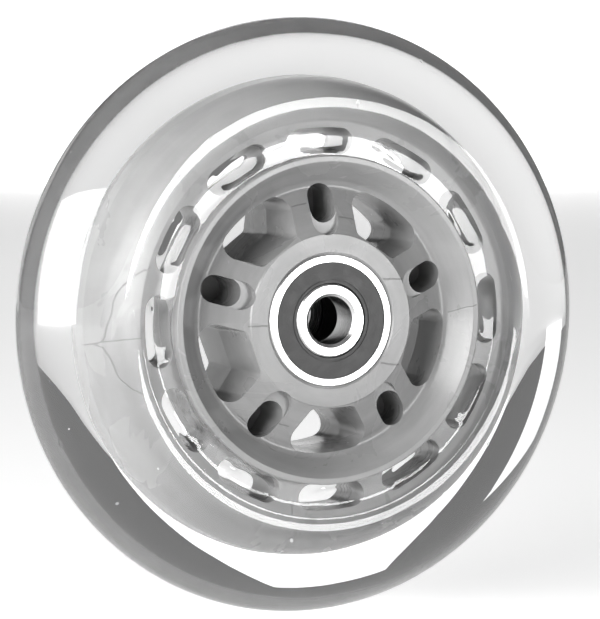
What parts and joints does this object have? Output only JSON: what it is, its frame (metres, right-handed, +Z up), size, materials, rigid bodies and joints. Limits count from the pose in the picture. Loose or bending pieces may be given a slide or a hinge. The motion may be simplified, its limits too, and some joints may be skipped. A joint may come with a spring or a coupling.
{
  "type": "caster wheel",
  "caption": "Chair caster wheel: clear cast tyre on a spoked plastic core, turning on two sealed ball bearings for an 8 mm axle.",
  "frame": {"origin": "centre of the wheel, on the spin axis, midway between the two bearings", "axes": "+Y along the spin axis from the front bearing to the rear bearing, +Z up, +X to the right seen from the front"},
  "size_m": [0.1, 0.0242, 0.1],
  "materials": {
    "tyre_clear": "clear cast polyurethane, glossy",
    "core_plastic": "moulded grey plastic, satin",
    "ring_steel": "ground bearing steel",
    "seal_rubber": "moulded nitrile rubber, satin",
    "pressed_steel": "pressed sheet steel",
    "rivet_steel": "bright rivet steel",
    "ball_steel": "polished chrome steel"
  },
  "bodies": {
    "front_axle_ring": {"front_inner_ring": "ring_steel"},
    "wheel": {"tyre": "tyre_clear", "core": "core_plastic", "front_outer_seal": "seal_rubber", "front_outer_seal_insert": "pressed_steel", "front_inner_seal": "seal_rubber", "front_inner_seal_insert": "pressed_steel", "front_outer_ring": "ring_steel", "rear_outer_seal": "seal_rubber", "rear_outer_seal_insert": "pressed_steel", "rear_inner_seal": "seal_rubber", "rear_inner_seal_insert": "pressed_steel", "rear_outer_ring": "ring_steel"},
    "rear_axle_ring": {"rear_inner_ring": "ring_steel"},
    "front_cage": {"front_cage_front_half": "pressed_steel", "front_cage_rear_half": "pressed_steel", "front_cage_rivets": "rivet_steel"},
    "front_ball_1": {"front_ball_1": "ball_steel"},
    "front_ball_2": {"front_ball_2": "ball_steel"},
    "front_ball_3": {"front_ball_3": "ball_steel"},
    "front_ball_4": {"front_ball_4": "ball_steel"},
    "front_ball_5": {"front_ball_5": "ball_steel"},
    "front_ball_6": {"front_ball_6": "ball_steel"},
    "front_ball_7": {"front_ball_7": "ball_steel"},
    "rear_cage": {"rear_cage_front_half": "pressed_steel", "rear_cage_rear_half": "pressed_steel", "rear_cage_rivets": "rivet_steel"},
    "rear_ball_1": {"rear_ball_1": "ball_steel"},
    "rear_ball_2": {"rear_ball_2": "ball_steel"},
    "rear_ball_3": {"rear_ball_3": "ball_steel"},
    "rear_ball_4": {"rear_ball_4": "ball_steel"},
    "rear_ball_5": {"rear_ball_5": "ball_steel"},
    "rear_ball_6": {"rear_ball_6": "ball_steel"},
    "rear_ball_7": {"rear_ball_7": "ball_steel"}
  },
  "joints": [
    {"name": "wheel_spin", "type": "hinge", "parent": "front_axle_ring", "child": "wheel", "pos_m": [0, 0, 0], "axis": [0, 1, 0], "continuous": true},
    {"name": "rear_ring_spin", "type": "hinge", "parent": "wheel", "child": "rear_axle_ring", "pos_m": [0, 0.0085, 0], "axis": [0, 1, 0], "continuous": true},
    {"name": "front_cage_spin", "type": "hinge", "parent": "front_axle_ring", "child": "front_cage", "pos_m": [0, -0.0085, 0], "axis": [0, 1, 0], "continuous": true},
    {"name": "rear_cage_spin", "type": "hinge", "parent": "wheel", "child": "rear_cage", "pos_m": [0, 0.0085, 0], "axis": [0, 1, 0], "continuous": true},
    {"name": "front_ball_1_spin", "type": "hinge", "parent": "front_cage", "child": "front_ball_1", "pos_m": [0.00734, -0.0085, 0.00156], "axis": [0, 1, 0], "continuous": true},
    {"name": "front_ball_2_spin", "type": "hinge", "parent": "front_cage", "child": "front_ball_2", "pos_m": [0.00335, -0.0085, 0.00671], "axis": [0, 1, 0], "continuous": true},
    {"name": "front_ball_3_spin", "type": "hinge", "parent": "front_cage", "child": "front_ball_3", "pos_m": [-0.00315, -0.0085, 0.00681], "axis": [0, 1, 0], "continuous": true},
    {"name": "front_ball_4_spin", "type": "hinge", "parent": "front_cage", "child": "front_ball_4", "pos_m": [-0.00729, -0.0085, 0.00178], "axis": [0, 1, 0], "continuous": true},
    {"name": "front_ball_5_spin", "type": "hinge", "parent": "front_cage", "child": "front_ball_5", "pos_m": [-0.00593, -0.0085, -0.00459], "axis": [0, 1, 0], "continuous": true},
    {"name": "front_ball_6_spin", "type": "hinge", "parent": "front_cage", "child": "front_ball_6", "pos_m": [-0.00011, -0.0085, -0.0075], "axis": [0, 1, 0], "continuous": true},
    {"name": "front_ball_7_spin", "type": "hinge", "parent": "front_cage", "child": "front_ball_7", "pos_m": [0.00579, -0.0085, -0.00476], "axis": [0, 1, 0], "continuous": true},
    {"name": "rear_ball_1_spin", "type": "hinge", "parent": "rear_cage", "child": "rear_ball_1", "pos_m": [0.00643, 0.0085, 0.00386], "axis": [0, 1, 0], "continuous": true},
    {"name": "rear_ball_2_spin", "type": "hinge", "parent": "rear_cage", "child": "rear_ball_2", "pos_m": [0.00099, 0.0085, 0.00743], "axis": [0, 1, 0], "continuous": true},
    {"name": "rear_ball_3_spin", "type": "hinge", "parent": "rear_cage", "child": "rear_ball_3", "pos_m": [-0.0052, 0.0085, 0.00541], "axis": [0, 1, 0], "continuous": true},
    {"name": "rear_ball_4_spin", "type": "hinge", "parent": "rear_cage", "child": "rear_ball_4", "pos_m": [-0.00747, 0.0085, -0.00069], "axis": [0, 1, 0], "continuous": true},
    {"name": "rear_ball_5_spin", "type": "hinge", "parent": "rear_cage", "child": "rear_ball_5", "pos_m": [-0.00412, 0.0085, -0.00627], "axis": [0, 1, 0], "continuous": true},
    {"name": "rear_ball_6_spin", "type": "hinge", "parent": "rear_cage", "child": "rear_ball_6", "pos_m": [0.00234, 0.0085, -0.00713], "axis": [0, 1, 0], "continuous": true},
    {"name": "rear_ball_7_spin", "type": "hinge", "parent": "rear_cage", "child": "rear_ball_7", "pos_m": [0.00703, 0.0085, -0.00262], "axis": [0, 1, 0], "continuous": true}
  ],
  "couplings": [
    {"joint": "front_cage_spin", "follows": "wheel_spin", "ratio": 0.6323},
    {"joint": "rear_cage_spin", "follows": "rear_ring_spin", "ratio": 0.3677},
    {"joint": "front_ball_1_spin", "follows": "wheel_spin", "ratio": 1.7573},
    {"joint": "front_ball_2_spin", "follows": "wheel_spin", "ratio": 1.7573},
    {"joint": "front_ball_3_spin", "follows": "wheel_spin", "ratio": 1.7573},
    {"joint": "front_ball_4_spin", "follows": "wheel_spin", "ratio": 1.7573},
    {"joint": "front_ball_5_spin", "follows": "wheel_spin", "ratio": 1.7573},
    {"joint": "front_ball_6_spin", "follows": "wheel_spin", "ratio": 1.7573},
    {"joint": "front_ball_7_spin", "follows": "wheel_spin", "ratio": 1.7573},
    {"joint": "rear_ball_1_spin", "follows": "rear_ring_spin", "ratio": -1.7573},
    {"joint": "rear_ball_2_spin", "follows": "rear_ring_spin", "ratio": -1.7573},
    {"joint": "rear_ball_3_spin", "follows": "rear_ring_spin", "ratio": -1.7573},
    {"joint": "rear_ball_4_spin", "follows": "rear_ring_spin", "ratio": -1.7573},
    {"joint": "rear_ball_5_spin", "follows": "rear_ring_spin", "ratio": -1.7573},
    {"joint": "rear_ball_6_spin", "follows": "rear_ring_spin", "ratio": -1.7573},
    {"joint": "rear_ball_7_spin", "follows": "rear_ring_spin", "ratio": -1.7573}
  ]
}
